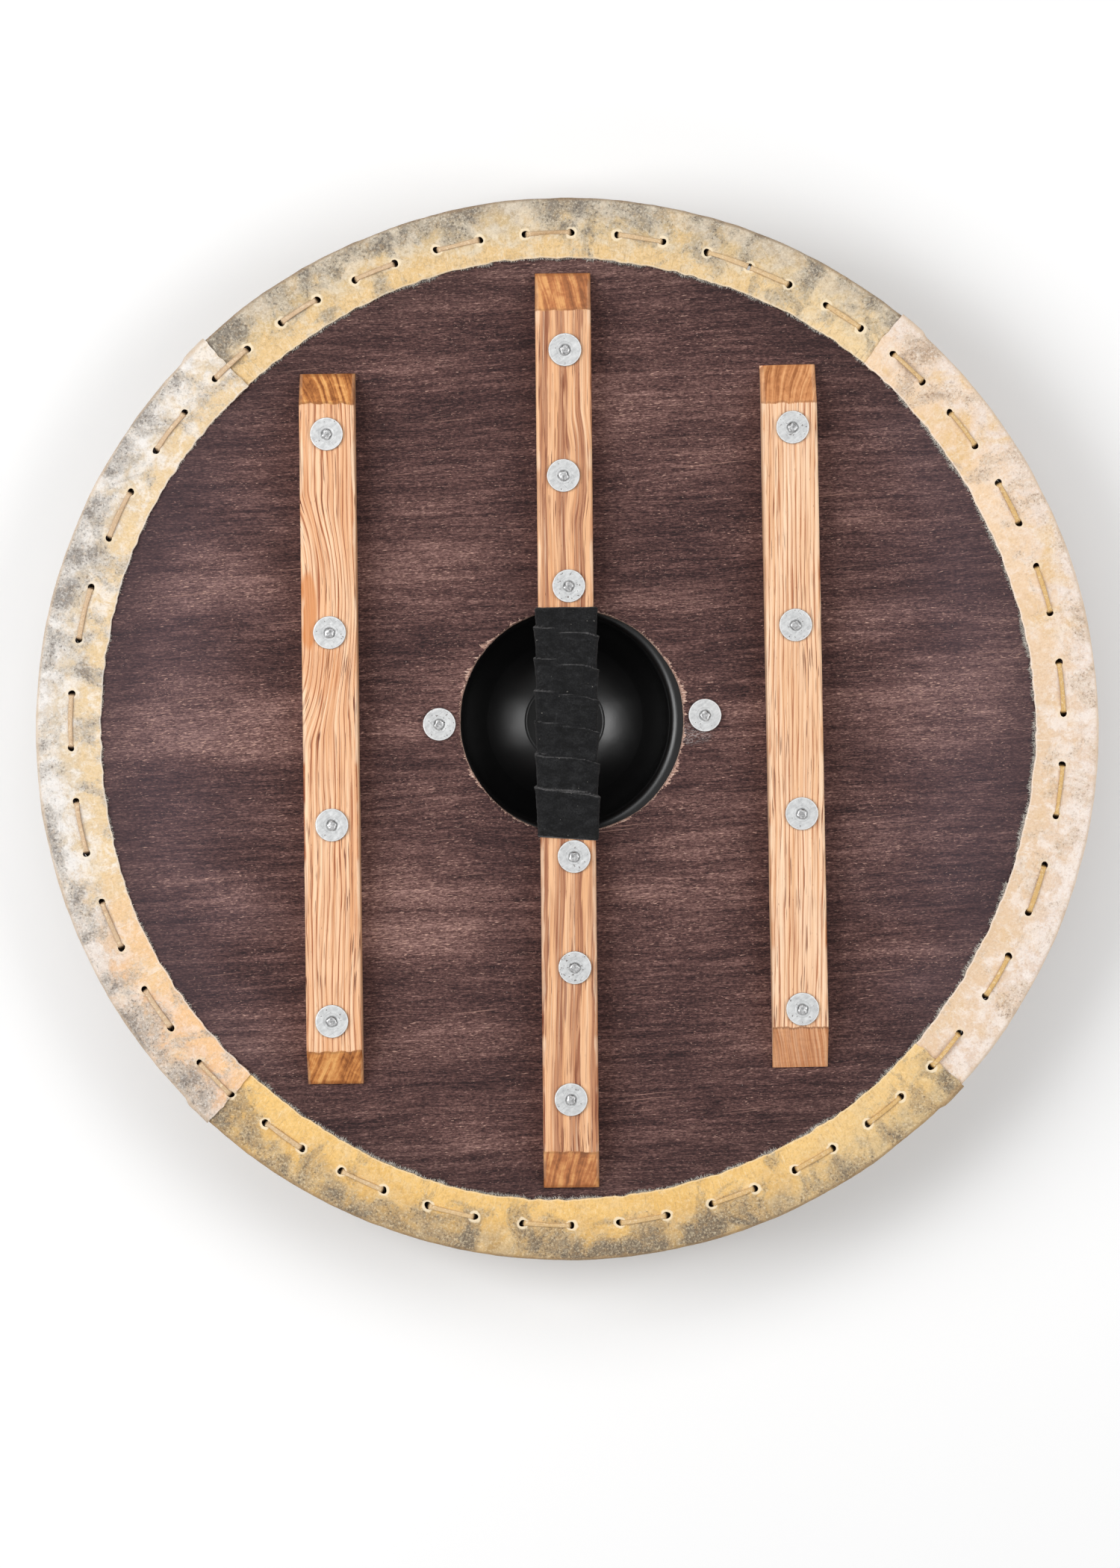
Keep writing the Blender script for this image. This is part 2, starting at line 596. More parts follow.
def zincFinish():
    # galvanised sheet, a little scratched and pitted, with a bright rolled rim
    f = Finish("zinc", roughness=0.38, metallic=0.3)
    spangle = f.noise(3, 3.0, 0.6, seed=1)
    smear = f.noise((8, 1.6, 8), 3.0, 0.65, 0.5, 35, 2)
    rubs = f.noise((5, 0.6, 5), 1.0, 0.5, 0.6, -50, 3).step(0.68, 0.78)
    pits = (f.noise(1.7, 1.0, seed=4) + (f.noise(50, 1.0, seed=5) - 0.5) * 0.3).step(0.68, 0.74)
    stops = [(0.0, (186, 187, 188)), (0.5, (212, 213, 213)), (1.0, (232, 233, 233))]
    base = f.ramp((spangle * 0.5 + smear * 0.5).line(0.3, 0.7), stops)
    radius = f.attribute("radius")
    wobble = (spangle - 0.5) * 1.2
    centre = 1 - (radius + wobble).step(3.1, 4.2)
    ringLine = (radius + wobble * 0.3).step(4.9, 5.2) * (1 - (radius + wobble * 0.3).step(5.3, 5.8))
    rim = radius.step(9.9, 10.2) * (1 - radius.step(10.3, 10.6))
    base = f.layers(
        base,
        (rubs * 0.45, (128, 128, 129)),
        (pits * 0.75, (96, 84, 80)),
        (centre * 0.7, (84, 84, 86)),
        (ringLine * 0.25, (142, 144, 146)),
        (rim * 0.6, (248, 248, 248)),
        (radius.step(10.4, 10.75) * 0.7, (120, 120, 122)),
    )
    rough = 0.32 + spangle * 0.16
    return f.link(Base_Color=base, Roughness=rough, Normal=f.bump(spangle * 0.5 + smear * 0.5, 0.00012, 0.6))


def nailFinish(name, dark, light, metallic, roughness):
    f = Finish(name, roughness=roughness, metallic=metallic)
    scale = f.noise(1.5, 3.0, 0.65, seed=1)
    base = f.ramp(scale.line(0.32, 0.68), [(0.0, dark), (1.0, light)])
    rust = f.noise(2.8, 2.0, seed=2)
    base = f.mix(rust.step(0.66, 0.76) * 0.45, base, (98, 66, 48))
    rough = roughness + (scale - 0.5) * 0.25
    return f.link(Base_Color=base, Roughness=rough, Normal=f.bump(scale, 0.00012, 0.6))


rim = {
    "holes": 67,
    "firstHole": 96.7,  # degrees, and the numbers go clockwise
    "joinHole": 5,
    "circle": 326,
    "holeRadius": 2.3,
    # swells of the holes' spacing: share of an even step, waves per turn, and the degrees past the first hole
    # where the holes are widest apart
    "spacing": [(0.04, 1, 240), (0.06, 2, 100), (0.08, 4, 10)],
    "trim": (308, [(1.2, 2, 180), (0.8, 7, 0)]),
    "thick": 1.2,
    "gap": 0.25,  # between board and rawhide
    "lift": 1.5,  # of a lap
    "lap": 2.4,  # degrees
    "ramp": 1.0,
    "fold": 4.2,
    "station": 1.15,
    "past": 12,  # by which the hole cutter reaches past the board
}


def holeAngle(number):
    # even steps clockwise from the first hole, less the drift that the swells of the spacing add up to
    even = np.asarray(number) * 360 / rim["holes"]
    drift = sum(
        np.degrees(share / waves) * np.sin(np.radians(waves * (even - widest)))
        for share, waves, widest in rim["spacing"]
    )
    return rim["firstHole"] - even - drift


holeAngles = holeAngle(np.arange(rim["holes"]))


def holeDistance(points):
    # from each point to the axis of the nearest hole
    centres = np.stack(polar(rim["circle"], holeAngles), -1)
    angle = np.degrees(np.arctan2(points[:, 1], points[:, 0]))
    order = np.argsort(holeAngles % 360)
    sortedAngles = (holeAngles % 360)[order]
    after = np.searchsorted(sortedAngles, angle % 360) % len(order)
    around = [centres[order[(after + step) % len(order)]] for step in (-1, 0)]
    return np.minimum(*[np.linalg.norm(points[:, :2] - centre, axis=1) for centre in around])


strips = {
    "rawhide_top": {"span": (51, 133), "over": (False, False), "seed": 11, "curl": 0.5},
    "rawhide_left": {"span": (133, 227.6), "over": (True, True), "seed": 12, "curl": 0.35},
    "rawhide_bottom": {"span": (227.6, 318), "over": (False, True), "seed": 13, "curl": 0.6},
    "rawhide_right": {"span": (318, 411), "over": (False, True), "seed": 14, "curl": 0.5},
}

# the zones are the inner, middle and outer part, each near and far along farWay (x, y, from and to in
# metres); colours are display values, and the amounts go from 0 to 1
hides = {
    "rawhide_top": {
        "zones": [
            ((228, 194, 140), (236, 206, 156)),
            ((208, 182, 138), (222, 196, 152)),
            ((184, 166, 142), (192, 174, 148)),
        ],
        "ochre": (226, 188, 126), "ochreShare": (0.4, 0.3), "white": (238, 228, 210), "chalk": 0.4,
        "smudge": (152, 142, 126), "deep": (104, 98, 92), "shadow": (170, 144, 110), "nap": 0.5,
        "hairDark": (84, 76, 70), "hairPale": (246, 234, 212), "fold": (156, 128, 98),
        "farWay": (1, 0, 0.05, 0.2), "farClear": 0.02, "grey": 0.035, "outwards": 0.14, "halo": 0.75,
        "seed": 1,
    },
    "rawhide_left": {
        "zones": [
            ((226, 198, 154), (240, 194, 144)),
            ((212, 194, 168), (230, 186, 146)),
            ((212, 206, 200), (214, 186, 162)),
        ],
        "ochre": (234, 202, 148), "ochreShare": (0.45, 0.3), "white": (250, 246, 242), "chalk": 0.5,
        "smudge": (172, 164, 154), "deep": (112, 105, 100), "shadow": (200, 172, 142), "nap": 0.35,
        "hairDark": (104, 94, 88), "hairPale": (252, 246, 238), "fold": (206, 182, 156),
        "farWay": (0, -1, 0.06, 0.2), "farClear": 0.0, "grey": 0.035, "outwards": 0.1, "halo": 0.35,
        "seed": 2,
    },
    "rawhide_bottom": {
        "zones": [
            ((240, 196, 120), (240, 202, 138)),
            ((222, 178, 106), (228, 194, 136)),
            ((178, 146, 98), (200, 174, 130)),
        ],
        "ochre": (226, 178, 98), "ochreShare": (0.45, 0.4), "white": (248, 230, 196), "chalk": 0.2,
        "smudge": (152, 132, 106), "deep": (96, 89, 82), "shadow": (184, 148, 100), "nap": 0.4,
        "hairDark": (86, 76, 68), "hairPale": (252, 234, 198), "fold": (178, 144, 102),
        "farWay": (1, 0, 0.1, 0.22), "farClear": 0.03, "grey": 0.03, "outwards": 0.22, "halo": 0.8,
        "seed": 3,
    },
    "rawhide_right": {
        "zones": [
            ((230, 200, 168), (240, 208, 172)),
            ((228, 202, 178), (236, 208, 180)),
            ((226, 206, 192), (228, 208, 192)),
        ],
        "ochre": (226, 186, 124), "ochreShare": (0.25, 0.8), "white": (251, 242, 235), "chalk": 0.5,
        "smudge": (208, 184, 158), "deep": (170, 146, 124), "shadow": (222, 186, 148), "nap": 0.4,
        "hairDark": (150, 122, 102), "hairPale": (254, 248, 240), "fold": (230, 204, 176),
        "farWay": (0, 1, 0.0, 0.15), "farClear": -0.03, "grey": -0.02, "outwards": 0.08, "halo": 0.3,
        "seed": 4,
    },
}


def innerEdge(angle, seed, side=1):
    # trimmed by hand: slow swells, plus short wobbles of the knife
    wobble = wave(angle * 0.9, seed + 50) * 0.55
    return swell(side * angle, *rim["trim"]) + wobble


def lapLift(angle, strip):
    # 1 where the strip lies on its neighbour's end, with a short ramp down
    start, end = strip["span"]
    level = rim["lap"] + 0.3
    lift = 0 * angle
    for over, inside in zip(strip["over"], (angle - start, end - angle)):
        if over:
            lift = lift + 1 - smooth(inside, level, level + rim["ramp"])
    return lift


def wrinkles(along, across, seed):
    # broad cockles, finer creases across the strip, and a leathery grain
    broad = noise(along / 26, across / 18, seed, 2) * 0.28
    crease = noise(along / 5.5, across / 15, seed + 1, 3) * 0.10
    grain = noise(along / 1.8, across / 1.8, seed + 2, 2) * 0.035
    return broad + crease + grain


def lipHeight(x, y):
    # the punch leaves a low ring round each hole
    distance = holeDistance(np.stack([x.ravel(), y.ravel()], -1)).reshape(x.shape)
    return 0.42 * np.exp(-((distance - 3.3) / 1.0) ** 2)


def stripRings(strip):
    # outside from the back's inner edge over the fold to the front's inner edge, then back along the inside
    start, end = strip["span"]
    start -= 0 if strip["over"][0] else rim["lap"]
    end += 0 if strip["over"][1] else rim["lap"]
    seed, thick = strip["seed"], rim["thick"]
    count = int(np.radians(end - start) * rim["circle"] / rim["station"])
    plain = np.linspace(start, end, count)[:, None]
    lift = lapLift(plain, strip) * rim["lift"]
    top = boardBack + rim["gap"] + thick + lift
    bottom = boardFront - rim["gap"] - thick - lift
    outside = rimRadius + lift
    foldStart = outside - rim["fold"]

    def flange(edge, shares, level, facing, seedShift):
        # radius runs from the trimmed edge to the fold; the height has wrinkles, lips and a curled edge
        radius = edge + (foldStart - edge) * shares
        angle = plain + endWobble(radius)
        x, y = polar(radius, angle)
        along = np.radians(angle) * rim["circle"]
        calm = smooth(shares, 1.0, 0.8) * smooth(radius - edge, -1, 4)
        rough = wrinkles(along, radius, seed + seedShift)
        curl = strip["curl"] * np.exp(-(radius - edge) / 3.5) * (0.8 + wave(along / 21, seed + 9, 2))
        height = rough * calm + 0.18 + np.maximum(curl, 0)
        if facing > 0:
            height = height + lipHeight(x, y)
        return angle, radius, level + facing * height

    def endWobble(radius):
        # the strips' ends are cut a little crooked
        crooked = wave(radius / 7, seed + 20, 2) * 0.16
        nearEnd = 1 - smooth(np.minimum(plain - start, end - plain), 0.0, 1.2)
        return crooked * nearEnd

    backEdge = innerEdge(plain, seed)
    frontEdge = innerEdge(plain, seed, -1)
    backShares = np.concatenate([[0, 0.004, 0.014], np.linspace(0.03, 1, 37)])[None, :]
    frontShares = np.concatenate([np.linspace(1, 0.03, 23), [0.014, 0.004, 0]])[None, :]
    back = list(flange(backEdge, backShares, top, 1, 0))
    front = list(flange(frontEdge, frontShares, bottom, -1, 5))
    worn = np.array([[0.75, 0.3, 0.08]]) * thick  # off the trimmed edges
    back[2][:, :3] -= worn
    front[2][:, -3:] += worn[:, ::-1]
    phi = np.radians(np.linspace(90, -90, 17))[None, 1:-1]
    squareness = 0.62
    bulge = np.cos(phi) ** squareness
    rise = np.sign(np.sin(phi)) * np.abs(np.sin(phi)) ** squareness
    backTop = back[2][:, -1:]
    frontTop = front[2][:, :1]
    foldAlong = np.radians(plain) * rim["circle"] + 0 * phi
    foldRough = noise(foldAlong / 9, phi * 2 + 0 * plain, seed + 4, 3) * 0.22
    foldRough = foldRough + noise(foldAlong / 40, phi + 0 * plain, seed + 5, 2) * 0.35
    foldRadius = foldStart + (rim["fold"] + foldRough - 0.35) * bulge
    foldHeight = (backTop + frontTop) / 2 + (backTop - frontTop) / 2 * rise
    fold = (plain + 0 * phi, foldRadius, foldHeight)
    outerPath = [np.concatenate(parts, axis=1) for parts in zip(back, fold, front)]
    inAngle, inRadius, inHeight = [part[:, ::4] for part in outerPath]
    isFold = inRadius > foldStart - 0.5
    inRadius = np.where(isFold, np.minimum(inRadius - thick, outside - thick), inRadius)
    inHeight = np.where(inHeight > boardMiddle, inHeight - thick, inHeight + thick)
    inHeight = np.where(isFold, boardMiddle + (inHeight - boardMiddle) * 0.98, inHeight)
    inHeight[:, 0] = outerPath[2][:, 0] - thick * 0.25
    inHeight[:, -1] = outerPath[2][:, -1] + thick * 0.25
    inPath = (inAngle, inRadius, inHeight)
    angle, radius, height = [np.concatenate([o, i[:, ::-1]], axis=1) for o, i in zip(outerPath, inPath)]
    rings = np.stack([*polar(radius, angle), height], -1)
    return rings, outerPath[0].shape[1]


def channelCap(total, outer):
    # triangles between the outer path and every fourth of its corners, which the inner path repeats
    quarter = np.arange((outer - 1) // 4)
    o = 4 * quarter
    inner = total - 1 - quarter
    nextInner = inner - 1
    fans = [
        np.stack([inner, o, o + 1], -1),
        np.stack([inner, o + 1, o + 2], -1),
        np.stack([inner, o + 2, nextInner], -1),
        np.stack([nextInner, o + 2, o + 3], -1),
        np.stack([nextInner, o + 3, o + 4], -1),
    ]
    return np.vstack(fans)


def makeStrip(name, strip, finish, cutter):
    rings, outer = stripRings(strip)
    rows, columns = rings.shape[:2]
    cap = channelCap(columns, outer)
    faces = [gridQuads(rows, columns, False, True), cap[:, ::-1], cap + (rows - 1) * columns]
    piece = makePiece(name + "_skin", rings.reshape(-1, 3), faces, finish)
    cutOut(piece, cutter)
    shade(piece, 40)
    points = pointsOf(piece)
    distance = holeDistance(points)
    radius = np.hypot(points[:, 0], points[:, 1])
    angle = np.degrees(np.arctan2(points[:, 1], points[:, 0]))
    start = strip["span"][0] - 10
    angle = start + (angle - start) % 360
    onBack = points[:, 2] > boardBack + 0.9
    jitter = noise(points[:, 0] / 2.5, points[:, 1] / 2.5, 77, 2)
    paint(piece, "halo", (1 - smooth(distance + jitter * 0.6, 3.0, 5.2)) * onBack)
    paint(piece, "along", np.radians(angle) * rim["circle"])
    paint(piece, "radius", radius)
    paint(piece, "inHole", (distance < rim["holeRadius"] + 0.35) & (points[:, 2] < boardBack + 0.8))
    paint(piece, "edge", 1 - smooth(radius - innerEdge(angle, strip["seed"]), 0.3, 1.6))
    attach(piece, "rawhide", name)
    return piece


def makeHoleCutter():
    # one slightly uneven peg for each hole
    sides = 20
    turn = np.linspace(0, fullTurn, sides, endpoint=False)
    rng = np.random.default_rng(5)
    parts = []
    for angle in holeAngles:
        uneven = 1 + 0.07 * np.cos(turn * 2 + rng.uniform(0, 6)) + 0.04 * np.cos(turn * 3 + rng.uniform(0, 6))
        size = rim["holeRadius"] * rng.uniform(0.94, 1.08)
        centreX, centreY = polar(rim["circle"], angle)
        x = centreX + size * uneven * np.cos(turn)
        y = centreY + size * uneven * np.sin(turn)
        ends = (boardFront - rim["past"], boardBack + rim["past"])
        rings = np.stack([np.stack([x, y, 0 * x + z], -1) for z in ends])
        parts.append(closedSkin(rings))
    points, faces = joined(parts)
    return makePiece("holeCutter", points, faces, None, 30)


hair = {
    "perDegree": 44,
    "thick": {"rawhide_top": 1.0, "rawhide_left": 0.3, "rawhide_bottom": 0.95, "rawhide_right": 0.85},
    "long": {"rawhide_top": 1.5, "rawhide_left": 1.1, "rawhide_bottom": 1.7, "rawhide_right": 1.9},
    "pale": {"rawhide_top": 0.66, "rawhide_left": 0.75, "rawhide_bottom": 0.8, "rawhide_right": 0.85},
}


def makeHair(finish):
    # short bristles left on the trimmed edge: thin three-sided spikes with one bend, from root to point
    rng = np.random.default_rng(21)
    parts = []
    shades = []
    for name, strip in strips.items():
        start, end = strip["span"]
        count = int(hair["perDegree"] * (end - start))
        angle = rng.uniform(start, end, count)
        thicket = np.clip(0.55 + 0.6 * wave(angle * 0.7, strip["seed"] + 30), 0.05, None)
        kept = rng.uniform(0, 1, count) < np.clip(thicket * hair["thick"][name] * 1.5, 0, 1)
        angle, thicket = angle[kept], thicket[kept]
        count = len(angle)
        length = rng.uniform(0.6, 1.9, count) * (0.55 + 0.7 * thicket) * hair["long"][name]
        heading = np.radians(angle + 180 + rng.normal(0, 42, count))
        bend = np.radians(rng.normal(0, 45, count))
        rootRadius = innerEdge(angle, strip["seed"]) + rng.uniform(-0.1, 0.7, count)
        level = boardBack + rng.uniform(0.15, 1.1, count) + lapLift(angle, strip) * rim["lift"]
        climb = rng.uniform(-0.25, 0.3, count)
        sides = np.radians([90, 210, 330])
        x, y = polar(rootRadius, angle)
        rows = []
        for share, radius, way in ((0, 0.2, heading), (0.5, 0.15, heading), (1.0, 0.0, heading + bend)):
            x = x + length * 0.5 * np.cos(way) * (share > 0)
            y = y + length * 0.5 * np.sin(way) * (share > 0)
            z = np.maximum(level + length * share * climb, boardBack + 0.12)
            ring = sides if radius else np.zeros(1)
            px = x[:, None] - radius * np.cos(ring) * np.sin(way)[:, None]
            py = y[:, None] + radius * np.cos(ring) * np.cos(way)[:, None]
            pz = z[:, None] + radius * np.sin(ring)
            rows.append(np.stack([px, py, pz], -1))
        # hair, corner, axis: three corners at the root, three midway and the point
        points = np.concatenate(rows, axis=1)
        first = (np.arange(count) * 7)[:, None, None]
        quads = gridQuads(2, 3, False, True)[None] + first
        tips = np.array([[2, 1, 0], [3, 4, 6], [4, 5, 6], [5, 3, 6]])[None] + first
        parts.append((points.reshape(-1, 3), [quads.reshape(-1, 4), tips.reshape(-1, 3)]))
        shades.append(np.repeat(np.clip(rng.normal(hair["pale"][name], 0.33, count), 0, 1), 7))
    points, faces = joined(parts)
    piece = makePiece("rim_hair", points, faces, finish, 180)
    paint(piece, "shade", np.concatenate(shades))
    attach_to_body(piece, "root")
    return piece


lace = {
    "width": 3.0,
    "thick": 1.15,
    "gap": 0.35,  # between rawhide and lace
    "bend": 1.0,
    "aside": 1.4,  # from a hole's middle towards the span, on the back and on the front
    "tail": 9,
    "fill": 1.36,  # of the width, where it stands in a hole
    "turnedSpan": 62,  # lies on its edge
}


def makeLace(finish):
    # a flat band along a route of square waves with rounded corners, in the plane of angle and height
    rng = np.random.default_rng(8)
    bend = lace["bend"]
    corner = np.radians([0, 22, 45, 68, 90])
    offset = np.concatenate([bend * (1 - np.cos(corner)), np.full(9, bend)])
    drop = np.concatenate([bend * (1 - np.sin(corner)), np.zeros(9)])
    share = np.concatenate([np.zeros(5), np.linspace(0.02, 0.5, 9)])
    offset = offset * (1 - 2 * share)
    fromEnd = np.concatenate([share, 1 - share[-2::-1]])
    start = np.concatenate([offset, -offset[-2::-1]])
    fall = np.concatenate([drop, drop[-2::-1]])
    over = boardBack + rim["gap"] + rim["thick"] + lace["gap"] + lace["thick"] / 2
    under = boardFront - rim["gap"] - rim["thick"] - lace["gap"] - lace["thick"] / 2
    angles = []
    heights = []
    twists = []
    for span in range(rim["holes"]):
        here = float(holeAngle(rim["joinHole"] + span))
        there = float(holeAngle(rim["joinHole"] + span + 1))
        length = np.radians(here - there) * rim["circle"] - 2 * lace["aside"]
        lift = max(liftAt(here), liftAt(there), liftAt((here + there) / 2)) * rim["lift"]
        facing = 1 if span % 2 == 0 else -1
        turned = np.sin(np.pi * fromEnd) ** 0.5 * (1.25 if span == lace["turnedSpan"] else 0.0)
        turned = turned + rng.uniform(-0.22, 0.22) * np.sin(np.pi * fromEnd)
        level = (over + lift if facing > 0 else under - lift) + facing * np.abs(np.sin(turned)) * 0.9
        sag = 0.12 * rng.uniform(0.4, 1.6) * np.sin(np.pi * fromEnd)
        along = lace["aside"] + start + fromEnd * length
        angles.append(here - np.degrees(along / rim["circle"]))
        heights.append(level - facing * fall + facing * sag)
        twists.append(turned)
    tail = np.array([under - lace["tail"] / 2, under - 1, boardMiddle])
    apart = 0.12 + np.degrees(lace["aside"] / rim["circle"])
    firstTail = np.full(3, float(holeAngle(rim["joinHole"])) - apart)
    lastTail = np.full(3, float(holeAngle(rim["joinHole"] + rim["holes"])) + apart)
    angle = np.concatenate([firstTail, *angles, lastTail])
    height = np.concatenate([tail, *heights, tail[::-1]])
    twist = np.concatenate([np.zeros(3), *twists, np.zeros(3)])[:, None]
    along = -np.radians(angle) * rim["circle"]
    stepAlong = np.gradient(along)
    stepUp = np.gradient(height)
    size = np.hypot(stepAlong, stepUp)
    stepAlong, stepUp = stepAlong / size, stepUp / size
    travelled = np.concatenate([[0], np.cumsum(np.hypot(np.diff(along), np.diff(height)))])
    # section: a rounded bar, counterclockwise in the plane of the radius and the band's own up
    half, thick = lace["width"] / 2, lace["thick"] / 2
    turn = np.linspace(0, fullTurn, 14, endpoint=False) + 0.2
    out = np.sign(np.cos(turn)) * np.abs(np.cos(turn)) ** 0.45
    up = np.sign(np.sin(turn)) * np.abs(np.sin(turn)) ** 0.7
    upright = smooth(np.abs(stepUp), 0.3, 0.8)
    fill = (1 + 0.15 * wave(travelled / 16, 31, 2)) * (1 - upright) + lace["fill"] * upright
    width = half * fill[:, None]
    dish = 0.12 * (out ** 2)[None, :] * wave(travelled / 14, 33, 2)[:, None]
    sway = 0.35 * wave(travelled / 22, 32, 2)[:, None]
    rough = 0.05 * noise(travelled[:, None] / 1.6, turn[None, :] * 2, 34, 2)
    sideways = width * out[None, :]
    lifted = (thick * up)[None, :] + dish + rough
    offset = sideways * np.cos(twist) - lifted * np.sin(twist)
    raised = sideways * np.sin(twist) + lifted * np.cos(twist)
    radius = rim["circle"] + sway + offset
    px = along[:, None] - stepUp[:, None] * raised
    pz = height[:, None] + stepAlong[:, None] * raised
    at = -px / rim["circle"]
    rings = np.stack([radius * np.cos(at), radius * np.sin(at), pz], -1)
    points, faces = closedSkin(rings)
    piece = makePiece("lace_band", points, faces, finish, 60)
    edge = np.tile(np.abs(out) ** 6, len(angle))
    paint(piece, "edge", np.concatenate([edge, [0, 0]]))
    attach(piece, "lace", "lace")
    return piece


def liftAt(angle):
    # the highest of the strips' laps at an angle
    lifts = []
    for strip in strips.values():
        start, end = strip["span"]
        turned = start + (angle - start) % 360
        lifts.append(float(lapLift(np.array(turned), strip)) if turned < end else 0.0)
    return max(lifts)


board = {
    "holeX": 3.0,
    "holeY": 5.3,
    "holeRadius": 73.5,
    "radius": 347.4,
    "columns": 1500,
    "worn": 0.8,  # off the corners of the rim
}


def fibreNoise(y, side):
    # fine and coarse tearing across the fibres, of its own on each side of the hand hole
    return noise(y / 0.55, side * 3, 62, 2), noise(y / 5, side * 5, 63, 2)


def makeBoard(finish, cutter):
    # rings from the front's rim inwards, up the wall of the hand hole and out over the back to the rim
    turn = circle(board["columns"])
    hx, hy, hr = board["holeX"], board["holeY"], board["holeRadius"]
    sawn = hr + noise(np.cos(turn) * 3, np.sin(turn) * 3, 61, 2) * 0.5
    across = hr * np.sin(turn)

    def torn(height):
        # fibres run along X, so the tears are as deep as the saw pulled each fibre, and fine across Y
        fine, coarse = fibreNoise(across, np.sign(np.cos(turn)))
        return np.clip(0.5 + coarse + fine * 0.9, 0, None) * np.abs(np.cos(turn)) ** 0.5 * height

    thick = boardBack - boardFront
    plies = 7
    wall = np.linspace(0.04, 0.96, 15)[:, None]
    plyStep = 0.14 * np.sign(np.sin(wall * plies * np.pi)) + 0.12 * noise(turn * 40, wall * 8, 64, 2)
    chip = 0.25 + torn(1.0) * 0.55
    rows = []
    heights = []
    reach = board["radius"]
    for share in (1.0, 0.985, 0.6, 0.25, 0.05, 0.012):
        rows.append(hr + (reach - hr) * share + 0 * turn)
        heights.append(boardFront + (board["worn"] if share == 1.0 else 0) + 0 * turn)
    rows.append(sawn + 0.5)
    heights.append(boardFront + 0 * turn)
    rows.append(sawn)
    heights.append(boardFront + 0.4 + 0 * turn)
    for part, wobble in zip(wall, plyStep):
        rows.append(sawn + wobble + smooth(part, 0.85, 1.0) * chip * 0.4)
        heights.append(boardFront + thick * part + 0 * turn)
    depth = torn(1.0)
    for step in (0.0, 0.25, 0.5, 0.75, 1.0, 1.35, 1.8, 2.4, 3.2, 4.2, 5.5, 7.5, 10.0):
        out = chip * 0.4 + step
        # a torn patch lies lower, and steps up to the stained face where each fibre held
        fibres = 0.32 + 0.2 * noise(across / 0.7, step / 3 + 0 * turn, 65, 2)
        low = (1 - smooth(step - depth * 2.4, -0.35, 0.25)) * fibres
        edge = 0.3 * np.exp(-step / 0.5)
        rows.append(sawn + out)
        heights.append(boardBack - np.maximum(low, 0) - edge)
    inner = sawn + chip * 0.4 + 10.0
    for share in (0.05, 0.12, 0.22, 0.34, 0.46, 0.58, 0.7, 0.8, 0.88, 0.94, 0.98, 1.0):
        rows.append(inner + (reach - inner) * share)
        heights.append(boardBack - (board["worn"] if share == 1.0 else 0) + 0 * turn)
    radius = np.vstack([row + 0 * turn for row in rows])
    height = np.vstack([row + 0 * turn for row in heights])
    # circles round the hand hole near it, and round the rim's own centre further out
    far = smooth(radius, hr + 12, hr + 90)
    limit = -(hx * np.cos(turn) + hy * np.sin(turn))
    toRim = limit + np.sqrt(limit ** 2 + reach ** 2 - hx ** 2 - hy ** 2)
    radius = radius * (1 - far) + (hr + (radius - hr) * (toRim - hr) / (reach - hr)) * far
    rings = np.stack([hx + radius * np.cos(turn), hy + radius * np.sin(turn), height], -1)
    rows, columns = rings.shape[:2]
    faces = [gridQuads(rows, columns, True, True)[:, ::-1]]
    piece = makePiece("board_disc", rings.reshape(-1, 3), faces, finish, 35)
    cutOut(piece, cutter)
    shade(piece, 35)
    points = pointsOf(piece)
    px, py = points[:, 0] - hx, points[:, 1] - hy
    distance = np.hypot(px, py)
    chord = np.sqrt(np.maximum(hr ** 2 - py ** 2, 0))
    sideways = np.abs(px) - chord
    fine, coarse = fibreNoise(py, np.sign(px))
    patchy = smooth(wave(np.arctan2(py, px) * 2.4, 66, 2), -0.55, 0.35)
    leftward = 1 + 0.5 * smooth(-px, 0, 60)
    reachOf = np.clip(0.6 + coarse + fine * 0.6, 0.1, None) * 2.0 * patchy * leftward
    raw = 1 - smooth(np.minimum(sideways, (distance - hr) * 2.2) - reachOf, -0.4, 0.5)
    inWall = (points[:, 2] < boardBack - 0.45) & (distance < hr + 4)
    raw = np.where(inWall, 0.75, np.clip(raw, 0, 1) * (distance < hr + 16))
    inside = np.abs(points[:, 2] - boardMiddle) < thick / 2 - 0.1
    inHole = (holeDistance(points) < rim["holeRadius"] + 0.4) & inside
    paint(piece, "raw", np.where(inHole, 0.7, raw))
    attach(piece, "stained_wood", "board")
    return piece


battens = {
    "batten_left": {"length": 466, "lean": 0.7, "slopes": (22.4, 21.4), "seed": 41, "chip": 0.0},
    "batten_grip": {"length": 600, "lean": 0.57, "slopes": (25, 26.2), "seed": 42, "chip": 0.0},
    "batten_right": {"length": 461, "lean": 1.07, "slopes": (27, 26.2), "seed": 43, "chip": 3.0},
}
lath = {
    "width": 36.3,
    "thick": 19.0,
    "arris": 1.7,
    "tip": 2.6,
    "fineReach": 34,  # from each end, where the rows lie closer
    "fineRows": 60,
    "row": 1.6,
}

